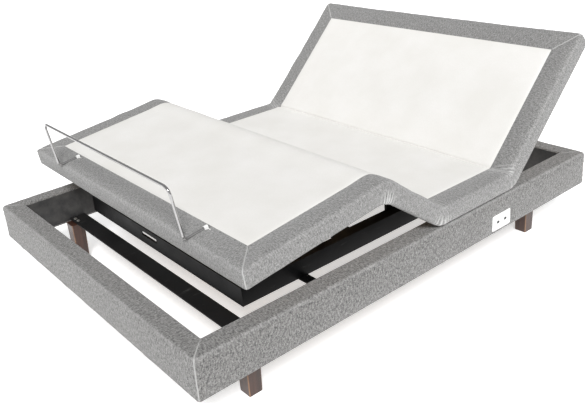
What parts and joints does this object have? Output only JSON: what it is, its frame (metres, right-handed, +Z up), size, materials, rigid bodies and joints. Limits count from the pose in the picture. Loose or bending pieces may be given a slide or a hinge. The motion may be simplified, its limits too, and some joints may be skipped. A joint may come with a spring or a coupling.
{
  "type": "adjustable bed base",
  "caption": "Upholstered queen-size adjustable bed base with hinged back, seat, thigh and foot sections on a rolling carriage, actuators, wooden legs and a retainer bar.",
  "frame": {"origin": "on the floor under the centre of the upholstered box", "axes": "+Z up, +Y towards the head end, +X towards the side that has the power outlet"},
  "size_m": [1.524, 2.05, 0.8596],
  "materials": {
    "heather_fabric": "woven heather upholstery cloth over foam, mid grey",
    "cream_panel": "matte off-white non-woven deck cloth",
    "black_lined_timber": "timber under matte black lining",
    "plywood": "plain plywood",
    "leg_wood": "dark reddish-brown stain, satin",
    "white_plastic": "white moulded plate",
    "chrome_wire": "bright chrome",
    "bright_rod": "ground steel",
    "black_plastic": "fine-grained black plastic",
    "black_steel": "satin black powder coat"
  },
  "bodies": {
    "base": {"rail_cover_left": "heather_fabric", "rail_cover_right": "heather_fabric", "rail_cover_head": "heather_fabric", "rail_cover_foot": "heather_fabric", "rail_board_left": "black_lined_timber", "rail_board_right": "black_lined_timber", "rail_board_head": "black_lined_timber", "rail_board_foot": "black_lined_timber", "leg_head_left": "leg_wood", "leg_head_right": "leg_wood", "leg_foot_left": "leg_wood", "leg_foot_right": "leg_wood", "leg_crossbar_head": "black_steel", "leg_crossbar_foot": "black_steel", "frame_channel_left": "black_steel", "frame_channel_right": "black_steel", "frame_crossrail_foot": "black_steel", "frame_crossrail_head": "black_steel", "hanger_head_left": "black_steel", "hanger_head_right": "black_steel", "hanger_foot_left": "black_steel", "hanger_foot_right": "black_steel", "power_outlet": "white_plastic"},
    "carriage": {"carriage_bar_left": "black_steel", "carriage_bar_right": "black_steel", "seat_rib_foot": "black_steel", "seat_rib_head": "black_steel", "actuator_mount_back": "black_steel", "actuator_mount_legs": "black_steel", "seat_board": "plywood", "seat_cover": "heather_fabric", "seat_panel": "cream_panel"},
    "wheel_head_left": {"roller_head_left": "black_plastic"},
    "wheel_head_right": {"roller_head_right": "black_plastic"},
    "wheel_foot_left": {"roller_foot_left": "black_plastic"},
    "wheel_foot_right": {"roller_foot_right": "black_plastic"},
    "back_section": {"back_board": "plywood", "back_cover": "heather_fabric", "back_panel": "cream_panel", "back_plate_left": "black_steel", "back_plate_right": "black_steel", "back_lever_rib": "black_steel"},
    "thigh_section": {"thigh_board": "plywood", "thigh_cover": "heather_fabric", "thigh_panel": "cream_panel", "thigh_plate_left": "black_steel", "thigh_plate_right": "black_steel", "thigh_lever_rib": "black_steel"},
    "foot_section": {"foot_board": "plywood", "foot_cover": "heather_fabric", "foot_panel": "cream_panel", "foot_plate_left": "black_steel", "foot_plate_right": "black_steel", "retainer_bar": "chrome_wire"},
    "foot_links": {"foot_link_left": "black_steel", "foot_link_right": "black_steel"},
    "back_motor": {"back_actuator": "black_plastic"},
    "back_rod": {"back_actuator_rod": "bright_rod"},
    "leg_motor": {"leg_actuator": "black_plastic"},
    "leg_rod": {"leg_actuator_rod": "bright_rod"}
  },
  "joints": [
    {"name": "back_hinge", "type": "hinge", "parent": "carriage", "child": "back_section", "pos_m": [0, 0.4775, 0.379], "axis": [1, 0, 0], "range_deg": [-44.9, 15.1]},
    {"name": "carriage_slide", "type": "slide", "parent": "base", "child": "carriage", "axis": [0, 1, 0], "range_m": [-0.1258, 0.0425]},
    {"name": "thigh_hinge", "type": "hinge", "parent": "carriage", "child": "thigh_section", "pos_m": [0, 0.0635, 0.379], "axis": [-1, 0, 0], "range_deg": [-36.1, 8.9]},
    {"name": "knee_hinge", "type": "hinge", "parent": "thigh_section", "child": "foot_section", "pos_m": [0, -0.21202, 0.57992], "axis": [1, 0, 0], "range_deg": [-43.2, 10.73]},
    {"name": "link_hinge", "type": "hinge", "parent": "carriage", "child": "foot_links", "pos_m": [0, -0.20292, 0.285], "axis": [-1, 0, 0], "range_deg": [-36.07, 8.97]},
    {"name": "back_motor_pivot", "type": "hinge", "parent": "carriage", "child": "back_motor", "pos_m": [0.14, -0.1055, 0.225], "axis": [1, 0, 0], "range_deg": [-6.25, 2.17]},
    {"name": "back_rod_slide", "type": "slide", "parent": "back_motor", "child": "back_rod", "axis": [0, 0.9978, 0.0664], "range_m": [-0.1069, 0.0361]},
    {"name": "leg_motor_pivot", "type": "hinge", "parent": "carriage", "child": "leg_motor", "pos_m": [-0.14, 0.6635, 0.238], "axis": [-1, 0, 0], "range_deg": [-4.43, 1.17]},
    {"name": "leg_rod_slide", "type": "slide", "parent": "leg_motor", "child": "leg_rod", "axis": [0, -0.9998, 0.0215], "range_m": [-0.0923, 0.023]},
    {"name": "wheel_foot_left_spin", "type": "hinge", "parent": "carriage", "child": "wheel_foot_left", "pos_m": [-0.525, -0.1455, 0.282], "axis": [1, 0, 0], "continuous": true},
    {"name": "wheel_foot_right_spin", "type": "hinge", "parent": "carriage", "child": "wheel_foot_right", "pos_m": [0.525, -0.1455, 0.282], "axis": [1, 0, 0], "continuous": true},
    {"name": "wheel_head_left_spin", "type": "hinge", "parent": "carriage", "child": "wheel_head_left", "pos_m": [-0.525, 0.5985, 0.282], "axis": [1, 0, 0], "continuous": true},
    {"name": "wheel_head_right_spin", "type": "hinge", "parent": "carriage", "child": "wheel_head_right", "pos_m": [0.525, 0.5985, 0.282], "axis": [1, 0, 0], "continuous": true}
  ],
  "couplings": [
    {"joint": "carriage_slide", "follows": "back_hinge", "m_per_rad": 0.16015},
    {"joint": "knee_hinge", "follows": "thigh_hinge", "ratio": 1.1939},
    {"joint": "link_hinge", "follows": "thigh_hinge", "ratio": 0.99642},
    {"joint": "back_motor_pivot", "follows": "back_hinge", "ratio": 0.137},
    {"joint": "back_rod_slide", "follows": "back_hinge", "m_per_rad": 0.136},
    {"joint": "leg_motor_pivot", "follows": "thigh_hinge", "ratio": 0.12},
    {"joint": "leg_rod_slide", "follows": "thigh_hinge", "m_per_rad": 0.146}
  ]
}
